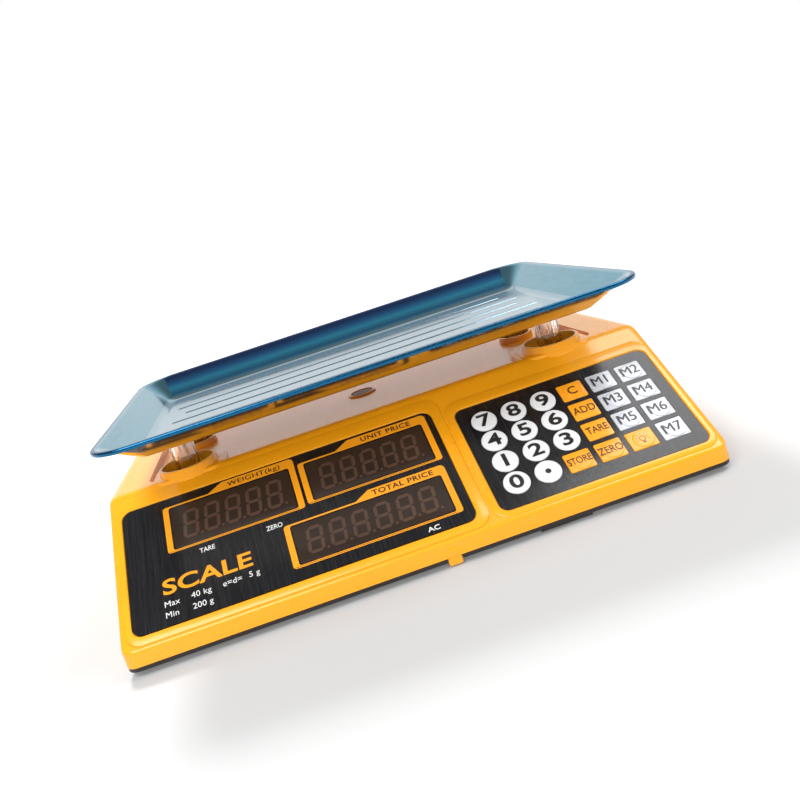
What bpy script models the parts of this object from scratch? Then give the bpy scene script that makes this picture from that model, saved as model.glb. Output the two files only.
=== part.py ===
"""Retail price scale: low counter scale with sloped operator panel, lift-off pan and rear display.

Frame: X to the operator's right, Y away from the operator, Z up, metres.
Origin: centre of the footprint, on the counter.
"""
import math

import bpy
from mathutils import Vector

# ---------------------------------------------------------------- sizes (m)
DEPTH = 0.300            # the frame's origin lies at half of this
FRONT_Y, REAR_Y = 0.0045, 0.2955
HALF_W = 0.175           # half of the body width
FOOT_H = 0.0038
STRIP_TOP = 0.0060       # top of the base tray rim
HOUSING_BOTTOM = 0.0062
WALL = 0.0025
GAP = 0.0002
PANEL_DEG = 33.66        # slope of the operator panel
PANEL_Y, PANEL_Z = 0.0035, 0.01325   # lower crease of the panel, from the front
DECK_Z = 0.0700
SHOULDER_Z = 0.0750
REAR_TOP_Y = 0.262
RECESS_HALF_W = 0.150
POST_X, POST_Y = 0.1235, (0.110, 0.187)
POST_R, POST_TOP = 0.0080, 0.1001
PAN_Y, PAN_HX, PAN_HY, PAN_R = 0.136, 0.159, 0.114, 0.025
PAN_RIM, PAN_FLOOR, SHEET = 0.1175, 0.1025, 0.0010
KEY_PITCH_X, KEY_PITCH_S = 0.019, 0.0165
KEY_X0, KEY_S0 = 0.05795, 0.07425
KEY_R, KEY_W, KEY_H = 0.0077, 0.0156, 0.0132
KEY_TOP, KEY_BOTTOM = 0.0006, -0.0032
KEY_ROWS = (
    ("key_7", "key_8", "key_9", "key_c", "key_m1", "key_m2"),
    ("key_4", "key_5", "key_6", "key_add", "key_m3", "key_m4"),
    ("key_1", "key_2", "key_3", "key_tare", "key_m5", "key_m6"),
    ("key_0", "key_point", "key_store", "key_zero", "key_light", "key_m7"),
)
ROUND_KEYS = {"key_%d" % i for i in range(10)} | {"key_point"}
WINDOWS = {
    "led_weight": (-0.1378, -0.0637, 0.0581, 0.0879),
    "led_unit_price": (-0.0532, 0.0213, 0.0592, 0.0873),
    "led_total_price": (-0.0707, 0.0196, 0.0201, 0.0462),
}
FOOT_XY = ((-0.150, 0.032), (0.150, 0.032), (-0.150, 0.268), (0.150, 0.268))
SCREW_XY = ((-0.160, 0.062), (0.160, 0.062), (-0.160, 0.2072), (0.160, 0.2072))
VIAL_Y, VIAL_R = 0.177, 0.0080
BAY = 0.0024             # depth of the switch and inlet bay in the right side

COS, SIN = math.cos(math.radians(PANEL_DEG)), math.sin(math.radians(PANEL_DEG))


# ---------------------------------------------------------------- placing
def world(x, y, z):
    """Point given with y from the front face."""
    return Vector((x, y - DEPTH / 2, z))


def panel(x, s, n):
    """Point on the operator panel: s up the slope, n out of the face."""
    return world(x, PANEL_Y + s * COS - n * SIN, PANEL_Z + s * SIN + n * COS)


REAR_LEN = math.hypot(REAR_Y - REAR_TOP_Y, SHOULDER_Z - HOUSING_BOTTOM)
RC, RS = (REAR_Y - REAR_TOP_Y) / REAR_LEN, (SHOULDER_Z - HOUSING_BOTTOM) / REAR_LEN


def rear(x, t, n):
    """Point on the rear face: t up the face, n out of it."""
    return world(-x, REAR_Y - t * RC + n * RS, HOUSING_BOTTOM + t * RS + n * RC)


def side(y, z, n):
    """Point on the floor of the bay in the right side: n out of it."""
    return world(HALF_W - BAY + n, y, z)


# ---------------------------------------------------------------- outlines
def rrect(x0, x1, y0, y1, r, seg=5):
    """Rounded rectangle, anticlockwise."""
    pts = []
    for cx, cy, a0 in ((x1 - r, y1 - r, 0), (x0 + r, y1 - r, 90), (x0 + r, y0 + r, 180), (x1 - r, y0 + r, 270)):
        for i in range(seg + 1):
            a = math.radians(a0 + 90 * i / seg)
            pts.append((cx + r * math.cos(a), cy + r * math.sin(a)))
    return pts


def rect(x0, x1, y0, y1):
    return [(x1, y1), (x0, y1), (x0, y0), (x1, y0)]


def circle(cx, cy, r, seg=24):
    return [(cx + r * math.cos(2 * math.pi * i / seg), cy + r * math.sin(2 * math.pi * i / seg)) for i in range(seg)]


# ---------------------------------------------------------------- solids
def make(name, verts, faces):
    mesh = bpy.data.meshes.new(name)
    mesh.from_pydata([tuple(v) for v in verts], [], faces)
    mesh.update()
    obj = bpy.data.objects.new(name, mesh)
    bpy.context.scene.collection.objects.link(obj)
    return obj


def loft(name, loops, close=False):
    """Closed body through loops of equal length; ends capped unless close joins last to first."""
    n = len(loops[0])
    verts = [v for loop in loops for v in loop]
    faces = []
    pairs = len(loops) if close else len(loops) - 1
    for k in range(pairs):
        a, b = k * n, ((k + 1) % len(loops)) * n
        for i in range(n):
            j = (i + 1) % n
            faces.append((a + i, a + j, b + j, b + i))
    if not close:
        faces.append(tuple(range(n - 1, -1, -1)))
        faces.append(tuple(range((len(loops) - 1) * n, len(loops) * n)))
    obj = make(name, verts, faces)
    fix_normals(obj)
    return obj


def fix_normals(obj):
    """Turn the whole body inside out when its signed volume is negative."""
    mesh = obj.data
    vol = 0.0
    for p in mesh.polygons:
        v = [mesh.vertices[i].co for i in p.vertices]
        for i in range(1, len(v) - 1):
            vol += v[0].dot(v[i].cross(v[i + 1]))
    if vol < 0:
        mesh.flip_normals()


def prism(name, outline, n0, n1, place=world, chamfer=0.0):
    """Outline raised from n0 to n1 in the given placing, with an optional top chamfer."""
    loops = [[place(u, v, n0) for u, v in outline]]
    if chamfer:
        cu = (min(u for u, _ in outline) + max(u for u, _ in outline)) / 2
        cv = (min(v for _, v in outline) + max(v for _, v in outline)) / 2
        hu = (max(u for u, _ in outline) - min(u for u, _ in outline)) / 2
        hv = (max(v for _, v in outline) - min(v for _, v in outline)) / 2
        for k in (0.0, 0.5, 1.0):
            a = k * math.pi / 2
            ins = chamfer * (1 - math.cos(a))
            zz = n1 - chamfer * (1 - math.sin(a))
            loops.append([place(cu + (u - cu) * (hu - ins) / hu, cv + (v - cv) * (hv - ins) / hv, zz) for u, v in outline])
    else:
        loops.append([place(u, v, n1) for u, v in outline])
    return loft(name, loops)


def box(name, x0, x1, y0, y1, z0, z1, place=world):
    return prism(name, rect(x0, x1, y0, y1), z0, z1, place)


def combine(obj, tools, operation):
    """Boolean each tool into obj, then drop the tools."""
    for tool in tools:
        mod = obj.modifiers.new(tool.name, "BOOLEAN")
        mod.operation = operation
        mod.solver = "EXACT"
        mod.object = tool
    bpy.context.view_layer.update()
    graph = bpy.context.evaluated_depsgraph_get()
    mesh = bpy.data.meshes.new_from_object(obj.evaluated_get(graph))
    obj.modifiers.clear()
    obj.data = mesh
    for tool in tools:
        bpy.data.objects.remove(tool, do_unlink=True)
    return obj


def add(obj, *tools):
    return combine(obj, tools, "UNION")


def cut(obj, *tools):
    return combine(obj, tools, "DIFFERENCE")


# ---------------------------------------------------------------- housing
def offset_polygon(pts, dists):
    """Move every edge of a convex polygon inward by its own distance."""
    n = len(pts)
    lines = []
    for i in range(n):
        (ax, ay), (bx, by) = pts[i], pts[(i + 1) % n]
        length = math.hypot(bx - ax, by - ay)
        nx, ny = (by - ay) / length, -(bx - ax) / length    # inward for a clockwise outline
        lines.append((nx, ny, nx * ax + ny * ay + dists[i]))
    out = []
    for i in range(n):
        a, b = lines[i - 1], lines[i]
        det = a[0] * b[1] - a[1] * b[0]
        out.append(((a[2] * b[1] - a[1] * b[2]) / det, (a[0] * b[2] - a[2] * b[0]) / det))
    return out


def fillet(pts, radii, seg=4):
    """Round the corners of a polygon."""
    out = []
    n = len(pts)
    for i, r in enumerate(radii):
        p, a, b = Vector(pts[i]), Vector(pts[i - 1]), Vector(pts[(i + 1) % n])
        if r <= 0:
            out.append(tuple(p))
            continue
        da, db = (a - p).normalized(), (b - p).normalized()
        half = da.angle(db) / 2
        t = r / math.tan(half)
        centre = p + (da + db).normalized() * r / math.sin(half)
        v0, v1 = p + da * t - centre, p + db * t - centre
        turn = math.atan2(v0.x * v1.y - v0.y * v1.x, v0.dot(v1))
        for k in range(seg + 1):
            ang = turn * k / seg
            c, s = math.cos(ang), math.sin(ang)
            out.append((centre.x + v0.x * c - v0.y * s, centre.y + v0.x * s + v0.y * c))
    return out


PANEL_SLOPE = SIN / COS
NOSE_Y = 0.0056
PROFILE = [
    (FRONT_Y, HOUSING_BOTTOM),
    (NOSE_Y, PANEL_Z + (NOSE_Y - PANEL_Y) * PANEL_SLOPE),
    (PANEL_Y + (SHOULDER_Z - PANEL_Z) / PANEL_SLOPE, SHOULDER_Z),
    (REAR_TOP_Y, SHOULDER_Z),
    (REAR_Y, HOUSING_BOTTOM),
]
PROFILE_R = (0, 0.0022, 0.010, 0.008, 0)


def housing_body(name, inset, floor, end_r, half_w):
    """Body of the housing swept along X with rounded ends."""
    dists = [inset, inset, inset, inset, floor]
    base = offset_polygon(PROFILE, dists)
    loops = []
    stations = []
    for a in (90, 45, 0) if end_r else (0,):
        ang = math.radians(a)
        stations.append((-half_w + end_r * (1 - math.sin(ang)), end_r * (1 - math.cos(ang))))
    both = stations + [(-x, ins) for x, ins in reversed(stations)]
    for x, ins in both:
        poly = fillet(offset_polygon(base, [ins, ins, ins, ins, 0]), PROFILE_R)
        loops.append([world(x, y, z) for y, z in poly])
    return loft(name, loops)


def ring_tools(x, y, r_out, r_in, z0, z1, seg=36):
    return (prism("tool_ring", circle(x, y, r_out, seg), z0, z1),
            prism("tool_bore", circle(x, y, r_in, seg), 0.060, z1 + 0.02))


def build_housing():
    body = housing_body("upper_housing", 0.0, 0.0, 0.0012, HALF_W)
    body = combine(body, [prism("tool_plan", rrect(-HALF_W, HALF_W, FRONT_Y, REAR_Y, 0.0075), 0.0, 0.2)], "INTERSECT")
    # display bezel, slightly proud of the panel
    body = add(body, prism("tool_bezel", rrect(-0.1715, 0.0365, 0.0045, 0.1060, 0.010), -0.0012, 0.0008, panel))
    # deck recess under the pan, open to the rear
    body = cut(body, prism("tool_recess", rrect(-RECESS_HALF_W, RECESS_HALF_W, 0.1010, DEPTH + 0.04, 0.010),
                           DECK_Z, SHOULDER_Z + 0.02))
    # collars around the posts and the vial
    rings, bores = [], []
    for sx in (-1, 1):
        for y, r_out, r_in, top in ((POST_Y[0], 0.0188, 0.0165, 0.0795), (POST_Y[1], 0.0125, 0.0105, 0.0738)):
            ring, bore = ring_tools(sx * POST_X, y, r_out, r_in, DECK_Z - 0.001, top)
            rings.append(ring)
            bores.append(bore)
    ring, bore = ring_tools(0.0, VIAL_Y, 0.0105, VIAL_R + 0.0003, DECK_Z - 0.001, DECK_Z + 0.0012)
    body = add(body, *rings, ring)
    # inside of the shell, kept below the deck
    hollow = housing_body("tool_hollow", WALL, -0.005, 0.0, HALF_W - WALL)
    hollow = cut(hollow, box("tool_lid", -0.3, 0.3, -0.05, 0.4, DECK_Z - WALL, 0.2))
    body = cut(body, hollow)
    body = cut(body, *bores, bore)
    # screw bosses
    bosses = [prism("tool_boss", circle(x, y, 0.0042, 12), 0.0099, 0.0491 if y < 0.1 else 0.0690) for x, y in SCREW_XY]
    body = add(body, *bosses)
    body = cut(body, *[prism("tool_pilot", circle(x, y, 0.0015, 10), 0.007, 0.027) for x, y in SCREW_XY])
    # pockets and openings of the operator panel
    body = cut(body,
               prism("tool_label", rrect(-0.1670, 0.0297, 0.0100, 0.0961, 0.0062), -0.0004, 0.01, panel),
               prism("tool_keys", rrect(0.0427, 0.1684, 0.0089, 0.0888, 0.0057), -0.0012, 0.01, panel))
    body = cut(body,
               prism("tool_view", rrect(-0.1420, 0.0250, 0.0160, 0.0915, 0.003), -0.02, 0.01, panel),
               prism("tool_board", rrect(0.0485, 0.1625, 0.0150, 0.0835, 0.003), -0.02, 0.01, panel))
    # rear display
    body = cut(body, prism("tool_rear", rrect(-0.1122, 0.1122, 0.0178, 0.0602, 0.0052), -0.0012, 0.01, rear))
    body = cut(body, prism("tool_rear_view", rrect(-0.1050, 0.1050, 0.0235, 0.0545, 0.002), -0.02, 0.01, rear))
    # bay with the switch and inlet openings in the right side
    body = add(body, box("tool_pad", 0.1720, 0.2480, 0.0172, 0.0460, BAY - 0.0060, BAY - 0.0010, side))
    body = cut(body, prism("tool_bay", rrect(0.1765, 0.2435, 0.0188, 0.0422, 0.002), 0.0, 0.01, side))
    body = cut(body,
               box("tool_switch", 0.1795, 0.1985, 0.0240, 0.0370, -0.02, 0.02, side),
               box("tool_inlet", 0.2160, 0.2400, 0.0215, 0.0395, -0.02, 0.02, side))
    # finger tab of the front catch
    body = add(body, box("tool_tab", 0.0060, 0.0140, FRONT_Y + 0.0004, FRONT_Y + 0.0028, 0.0006, 0.0090))
    return body


def build_tray():
    body = prism("base_tray", rrect(-0.1748, 0.1748, FRONT_Y + 0.0002, REAR_Y - 0.0002, 0.0073, 4), FOOT_H, STRIP_TOP)
    tools = [box("tool_rib", -0.1705, -0.1690, 0.070, 0.275, STRIP_TOP - 0.001, 0.0130),
             box("tool_rib", 0.1690, 0.1705, 0.070, 0.275, STRIP_TOP - 0.001, 0.0130),
             box("tool_rib", -0.150, 0.150, 0.2815, 0.2833, STRIP_TOP - 0.001, 0.0120),
             box("tool_step", 0.060, 0.090, FRONT_Y + 0.0015, 0.0140, 0.0020, STRIP_TOP - 0.001)]
    tools += [prism("tool_boss", circle(x, y, 0.0060, 16), STRIP_TOP - 0.001, 0.0096) for x, y in SCREW_XY]
    tools += [prism("tool_boss", circle(x, y, 0.0065, 16), STRIP_TOP - 0.001, 0.0096) for x, y in FOOT_XY[2:]]
    body = add(body, *tools)
    tools = [prism("tool_hole", circle(x, y, 0.0036, 16), 0.0, 0.02) for x, y in FOOT_XY]
    for x, y in SCREW_XY:
        tools.append(prism("tool_head", circle(x, y, 0.0040, 14), 0.0, 0.0067))
        tools.append(prism("tool_shank", circle(x, y, 0.0017, 10), 0.004, 0.02))
    tools.append(box("tool_notch", 0.0054, 0.0146, -0.01, FRONT_Y + 0.0033, 0.0, 0.02))
    tools.append(prism("tool_door", rrect(-0.1150, -0.0050, 0.2080, 0.2640, 0.003), 0.0, 0.02))
    return cut(body, *tools)


# ---------------------------------------------------------------- operator panel
def build_label():
    body = prism("display_label", rrect(-0.1668, 0.0295, 0.0102, 0.0959, 0.006), -0.0003, 0.0008, panel)
    body = cut(body, *[prism("tool_" + k, rrect(*w, 0.0022, 3), -0.01, 0.01, panel) for k, w in WINDOWS.items()])
    prism("display_filter", rrect(-0.1416, 0.0246, 0.0164, 0.0911, 0.002, 3), -0.0020, -0.0005, panel)
    for name, (x0, x1, s0, s1) in WINDOWS.items():
        prism(name, rect(x0 + 0.001, x1 - 0.001, s0 + 0.002, s1 - 0.002), -0.0105, -0.0027, panel)
    prism("display_board", rrect(-0.1420, 0.0250, 0.0160, 0.0915, 0.002, 2), -0.0123, -0.0107, panel)


def key_outline(name, col, row, grow=0.0):
    x, s = KEY_X0 + col * KEY_PITCH_X, KEY_S0 - row * KEY_PITCH_S
    if name in ROUND_KEYS:
        return circle(x, s, KEY_R + grow, 28)
    return rrect(x - KEY_W / 2 - grow, x + KEY_W / 2 + grow, s - KEY_H / 2 - grow, s + KEY_H / 2 + grow, 0.0012 + grow, 3)


def build_keys():
    plate = prism("keypad_overlay", rrect(0.0429, 0.1682, 0.0091, 0.0886, 0.0055), -0.0010, 0.0, panel)
    holes = []
    for r, names in enumerate(KEY_ROWS):
        for c, name in enumerate(names):
            prism(name, key_outline(name, c, r), KEY_BOTTOM, KEY_TOP, panel, 0.0005)
            holes.append(prism("tool_" + name, key_outline(name, c, r, 0.0003), -0.01, 0.01, panel))
    cut(plate, *holes)
    prism("keypad_board", rrect(0.0500, 0.1610, 0.0165, 0.0822, 0.002, 2), -0.0057, -0.0041, panel)


# ---------------------------------------------------------------- weighing train
def build_load_path():
    yc = sum(POST_Y) / 2
    beam = box("load_cell", -0.065, 0.065, yc - 0.015, yc + 0.015, 0.0190, 0.0410)
    hole = prism("tool_hole", circle(-0.010, 0.0300, 0.0075, 20) , yc - 0.03, yc + 0.03, lambda u, v, n: world(u, n, v))
    hole2 = prism("tool_hole", circle(0.010, 0.0300, 0.0075, 20), yc - 0.03, yc + 0.03, lambda u, v, n: world(u, n, v))
    slot = box("tool_slot", -0.010, 0.010, yc - 0.03, yc + 0.03, 0.0280, 0.0320)
    cut(beam, hole, hole2, slot)
    riser = box("load_cell_riser", -0.064, -0.034, yc - 0.013, yc + 0.013, STRIP_TOP + GAP, 0.0188)
    # spider plate with four hollow posts
    arm = box("pan_support", -POST_X - 0.010, POST_X + 0.010, yc - 0.014, yc + 0.014, 0.0500, 0.0550)
    bars, posts, bores = [], [], []
    for sx in (-1, 1):
        x = sx * POST_X
        bars.append(box("tool_bar", x - 0.0100, x + 0.0100, POST_Y[0] - 0.010, POST_Y[1] + 0.010, 0.0502, 0.0552))
        for y in POST_Y:
            posts.append(prism("tool_post", circle(x, y, POST_R, 24), 0.0530, POST_TOP, world, 0.0006))
            bores.append(prism("tool_bore", circle(x, y, 0.0052, 16), 0.040, POST_TOP - 0.004))
    foot = box("tool_foot", 0.034, 0.064, yc - 0.013, yc + 0.013, 0.0412, 0.0510)
    arm = add(arm, *bars, foot)
    arm = add(arm, *posts)
    cut(arm, *bores)
    for k, (sx, y) in enumerate(((-1, POST_Y[0]), (1, POST_Y[0]), (-1, POST_Y[1]), (1, POST_Y[1]))):
        tag = ("front_left", "front_right", "rear_left", "rear_right")[k]
        prism("pan_pad_" + tag, circle(sx * POST_X, y, 0.0068, 20), POST_TOP + GAP, PAN_FLOOR - SHEET - GAP)


def build_pan():
    """Pressed tray with a turned-down hem, lofted as one sheet."""
    def loop(hx, hy, r, z):
        return [world(x, PAN_Y + y, z) for x, y in rrect(-hx, hx, -hy, hy, r, 7)]
    hx, hy, r = PAN_HX, PAN_HY, PAN_R
    fx, fy, fr = hx - 0.021, hy - 0.034, 0.010
    top, under = PAN_FLOOR, PAN_FLOOR - SHEET
    loops = [
        loop(fx - 0.004, fy - 0.004, fr - 0.002, top),
        loop(fx - 0.001, fy - 0.001, fr, top + 0.0006),
        loop(fx + 0.001, fy + 0.0012, fr + 0.0006, top + 0.0026),
        loop(hx - 0.0050, hy - 0.0052, r - 0.004, PAN_RIM - 0.0008),
        loop(hx - 0.0035, hy - 0.0035, r - 0.003, PAN_RIM),
        loop(hx - 0.0008, hy - 0.0008, r - 0.0008, PAN_RIM),
        loop(hx, hy, r, PAN_RIM - 0.0010),
        loop(hx, hy, r, PAN_RIM - 0.0026),
        loop(hx - 0.0009, hy - 0.0009, r - 0.0009, PAN_RIM - 0.0026),
        loop(hx - 0.0010, hy - 0.0010, r - 0.001, PAN_RIM - 0.0014),
        loop(hx - 0.0036, hy - 0.0036, r - 0.003, PAN_RIM - 0.0011),
        loop(hx - 0.0046, hy - 0.0046, r - 0.004, PAN_RIM - 0.0020),
        loop(fx + 0.0018, fy + 0.0020, fr + 0.001, under + 0.0022),
        loop(fx - 0.0004, fy - 0.0004, fr, under + 0.0003),
        loop(fx - 0.004, fy - 0.004, fr - 0.002, under),
    ]
    loft("weighing_pan", loops)


# ---------------------------------------------------------------- underside and power
def build_feet_and_screws():
    for (x, y), tag in zip(FOOT_XY, ("front_left", "front_right", "rear_left", "rear_right")):
        disc = prism("foot_" + tag, circle(x, y, 0.0110, 24), 0.0, FOOT_H - 0.0003)
        add(disc, prism("tool_stem", circle(x, y, 0.0031, 12), 0.002, 0.0140))
    for (x, y), tag in zip(SCREW_XY, ("front_left", "front_right", "rear_left", "rear_right")):
        head = prism("case_screw_" + tag, circle(x, y, 0.0036, 16), 0.0046, 0.0065)
        head = add(head, prism("tool_shank", circle(x, y, 0.0012, 10), 0.0055, 0.0220))
        cut(head, box("tool_slot", x - 0.0005, x + 0.0005, y - 0.0025, y + 0.0025, 0.003, 0.0053),
            box("tool_slot", x - 0.0025, x + 0.0025, y - 0.0005, y + 0.0005, 0.003, 0.0054))


def build_power():
    box("battery", -0.1105, -0.0095, 0.2125, 0.2595, 0.0064, 0.0534)
    door = prism("battery_door", rrect(-0.1147, -0.0053, 0.2083, 0.2637, 0.0027), FOOT_H + 0.0002, STRIP_TOP - 0.0002)
    cut(door, *[box("tool_grip", -0.075, -0.045, y, y + 0.0012, 0.003, 0.0046) for y in (0.2560, 0.2585, 0.2610)])
    core = box("transformer", 0.0300, 0.0850, 0.2150, 0.2560, 0.0064, 0.0410)
    add(core, box("tool_coil", 0.0370, 0.0780, 0.2100, 0.2610, 0.0120, 0.0370))
    # rocker switch in the right side
    frame = box("rocker_frame", 0.1780, 0.2000, 0.0225, 0.0385, 0.0002, 0.0016, side)
    frame = add(frame, box("tool_body", 0.1798, 0.1982, 0.0243, 0.0367, -0.0120, 0.0010, side))
    cut(frame, box("tool_well", 0.1815, 0.1965, 0.0258, 0.0352, -0.0100, 0.01, side))
    rocker = rocker_profile()
    loft("power_rocker", [[world(x, y, z) for x, y in rocker] for z in (0.0262, 0.0348)])
    # two-pin inlet
    body = box("mains_inlet", 0.2140, 0.2420, 0.0195, 0.0415, 0.0002, 0.0015, side)
    body = add(body, box("tool_body", 0.2163, 0.2397, 0.0218, 0.0392, -0.0180, 0.0010, side))
    body = cut(body, prism("tool_well", rrect(0.2190, 0.2370, 0.0255, 0.0355, 0.0049), -0.0150, 0.01, side))
    add(body, *[prism("tool_pin", circle(y, 0.0305, 0.0012, 10), -0.0160, -0.0020, side) for y in (0.2237, 0.2323)])


ROCKER_Y, ROCKER_X = 0.189, HALF_W - BAY - 0.0040


def rocker_profile():
    """Plan outline of the rocker, tilted to one side."""
    tilt = math.radians(8)
    raw = [(-0.0030, -0.0050), (-0.0030, 0.0050), (0.0010, 0.0068), (0.0052, 0.0068), (0.0040, 0.0),
           (0.0052, -0.0068), (0.0010, -0.0068)]
    c, s = math.cos(tilt), math.sin(tilt)
    return [(ROCKER_X + u * c - v * s, ROCKER_Y + u * s + v * c) for u, v in raw]


def build_rear_display():
    plate = prism("customer_label", rrect(-0.1120, 0.1120, 0.0180, 0.0600, 0.005), -0.0010, 0.0, rear)
    windows = ((-0.103, -0.040, 0.0265, 0.0510), (-0.034, 0.026, 0.0265, 0.0510), (0.032, 0.103, 0.0265, 0.0510))
    cut(plate, *[prism("tool_window", rrect(*w, 0.002, 3), -0.01, 0.01, rear) for w in windows])
    prism("customer_filter", rrect(-0.1046, 0.1046, 0.0239, 0.0541, 0.0015, 3), -0.0026, -0.0012, rear)
    prism("customer_display_board", rrect(-0.1040, 0.1040, 0.0245, 0.0535, 0.0015, 2), -0.0096, -0.0030, rear)


def build_vial():
    vial = prism("level_vial", circle(0.0, VIAL_Y, VIAL_R, 28), DECK_Z - 0.0050, DECK_Z + 0.0006, world, 0.0008)
    return vial


for old in list(bpy.data.objects):
    bpy.data.objects.remove(old, do_unlink=True)

build_housing()
build_tray()
build_label()
build_keys()
build_load_path()
build_pan()
build_feet_and_screws()
build_power()
build_rear_display()
build_vial()
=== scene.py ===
"""Looks of the retail price scale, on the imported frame."""
import math

import bpy
from mathutils import Matrix, Vector


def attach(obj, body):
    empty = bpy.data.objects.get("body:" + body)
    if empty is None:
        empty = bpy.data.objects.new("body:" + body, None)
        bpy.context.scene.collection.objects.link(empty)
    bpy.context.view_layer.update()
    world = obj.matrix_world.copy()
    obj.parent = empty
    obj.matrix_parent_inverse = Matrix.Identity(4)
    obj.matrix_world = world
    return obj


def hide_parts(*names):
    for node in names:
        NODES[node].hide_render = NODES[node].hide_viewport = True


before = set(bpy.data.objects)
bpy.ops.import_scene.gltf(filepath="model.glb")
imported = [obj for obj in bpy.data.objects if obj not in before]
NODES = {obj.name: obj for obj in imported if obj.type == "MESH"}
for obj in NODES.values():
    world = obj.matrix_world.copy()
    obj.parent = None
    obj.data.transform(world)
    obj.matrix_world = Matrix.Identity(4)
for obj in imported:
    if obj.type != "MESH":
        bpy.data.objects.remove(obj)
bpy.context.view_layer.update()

# ---------------------------------------------------------------- measures taken over from the CAD (m)
DEPTH, FRONT_Y, REAR_Y, HALF_W = 0.300, 0.0045, 0.2955, 0.175
HOUSING_BOTTOM, DECK_Z, SHOULDER_Z, WALL = 0.0062, 0.0700, 0.0750, 0.0025
PANEL_DEG, PANEL_Y, PANEL_Z, REAR_TOP_Y = 33.66, 0.0035, 0.01325, 0.262
POST_X, POST_Y = 0.1235, (0.110, 0.187)
PAN_Y, PAN_HX, PAN_HY, PAN_R = 0.136, 0.159, 0.114, 0.025
PAN_RIM, PAN_FLOOR, SHEET = 0.1175, 0.1025, 0.0010
VIAL_Y, VIAL_R, BAY = 0.177, 0.0080, 0.0024
ROCKER_Y, ROCKER_Z, ROCKER_DEPTH, ROCKER_TILT = 0.189, 0.0305, 0.0040, 8
FRONT_BORE, REAR_BORE = 0.0165, 0.0105
KEY_X0, KEY_S0, KEY_DX, KEY_DS = 0.05795, 0.07425, 0.019, 0.0165
KEY_R, KEY_W, KEY_H = 0.0077, 0.0156, 0.0132
KEY_ROWS = (
    ("key_7", "key_8", "key_9", "key_c", "key_m1", "key_m2"),
    ("key_4", "key_5", "key_6", "key_add", "key_m3", "key_m4"),
    ("key_1", "key_2", "key_3", "key_tare", "key_m5", "key_m6"),
    ("key_0", "key_point", "key_store", "key_zero", "key_light", "key_m7"),
)
WINDOWS = {
    "weight": (-0.1378, -0.0637, 0.0581, 0.0879),
    "unit_price": (-0.0532, 0.0213, 0.0592, 0.0873),
    "total_price": (-0.0707, 0.0196, 0.0201, 0.0462),
}
LABEL_HOLE = (-0.1670, 0.0297, 0.0100, 0.0961, 0.0062)
KEYPAD_HOLE = (0.0427, 0.1684, 0.0089, 0.0888, 0.0057)
# heights of the prints above the panel: unlit segments, label print, ink on that print, ink on a key
SEGMENT_Z, PRINT_Z, INK_Z, KEY_INK_Z = 0.00079, 0.00083, 0.00087, 0.00064
COS, SIN = math.cos(math.radians(PANEL_DEG)), math.sin(math.radians(PANEL_DEG))
REAR_LEN = math.hypot(REAR_Y - REAR_TOP_Y, SHOULDER_Z - HOUSING_BOTTOM)
RC, RS = (REAR_Y - REAR_TOP_Y) / REAR_LEN, (SHOULDER_Z - HOUSING_BOTTOM) / REAR_LEN


def matrix_of(origin, u, v, n):
    m = Matrix((u, v, n)).transposed().to_4x4()
    m.translation = origin
    return m


WORLD = Matrix.Translation((0, -DEPTH / 2, 0))
PANEL = matrix_of(Vector((0, PANEL_Y - DEPTH / 2, PANEL_Z)), Vector((1, 0, 0)), Vector((0, COS, SIN)),
                  Vector((0, -SIN, COS)))
REAR = matrix_of(Vector((0, REAR_Y - DEPTH / 2, HOUSING_BOTTOM)), Vector((-1, 0, 0)), Vector((0, -RC, RS)),
                 Vector((0, RS, RC)))
SIDE = matrix_of(Vector((HALF_W - BAY, -DEPTH / 2, 0)), Vector((0, 1, 0)), Vector((0, 0, 1)), Vector((1, 0, 0)))


# ---------------------------------------------------------------- materials
def nodes_of(name):
    mat = bpy.data.materials.new(name)
    mat.use_nodes = True
    tree = mat.node_tree
    return mat, tree, tree.nodes["Principled BSDF"]


def link(tree, a, b):
    tree.links.new(a, b)


def noise(tree, scale, detail, stretch=(1, 1, 1)):
    coord = tree.nodes.new("ShaderNodeTexCoord")
    mapping = tree.nodes.new("ShaderNodeMapping")
    mapping.inputs["Scale"].default_value = stretch
    tex = tree.nodes.new("ShaderNodeTexNoise")
    tex.inputs["Scale"].default_value = scale
    tex.inputs["Detail"].default_value = detail
    link(tree, coord.outputs["Object"], mapping.inputs["Vector"])
    link(tree, mapping.outputs["Vector"], tex.inputs["Vector"])
    return tex.outputs["Fac"]


def ramp(tree, fac, stops):
    node = tree.nodes.new("ShaderNodeValToRGB")
    els = node.color_ramp.elements
    for el, (pos, col) in zip(els, stops[:2]):
        el.position, el.color = pos, (*col, 1)
    for pos, col in stops[2:]:
        el = els.new(pos)
        el.color = (*col, 1)
    link(tree, fac, node.inputs["Fac"])
    return node.outputs["Color"]


def bump(tree, shader, fac, strength, distance):
    node = tree.nodes.new("ShaderNodeBump")
    node.inputs["Strength"].default_value = strength
    node.inputs["Distance"].default_value = distance
    link(tree, fac, node.inputs["Height"])
    link(tree, node.outputs["Normal"], shader.inputs["Normal"])


def rough_range(tree, shader, fac, low, high):
    node = tree.nodes.new("ShaderNodeMapRange")
    node.inputs["From Min"].default_value, node.inputs["From Max"].default_value = 0.3, 0.7
    node.inputs["To Min"].default_value, node.inputs["To Max"].default_value = low, high
    link(tree, fac, node.inputs["Value"])
    link(tree, node.outputs["Result"], shader.inputs["Roughness"])


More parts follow.
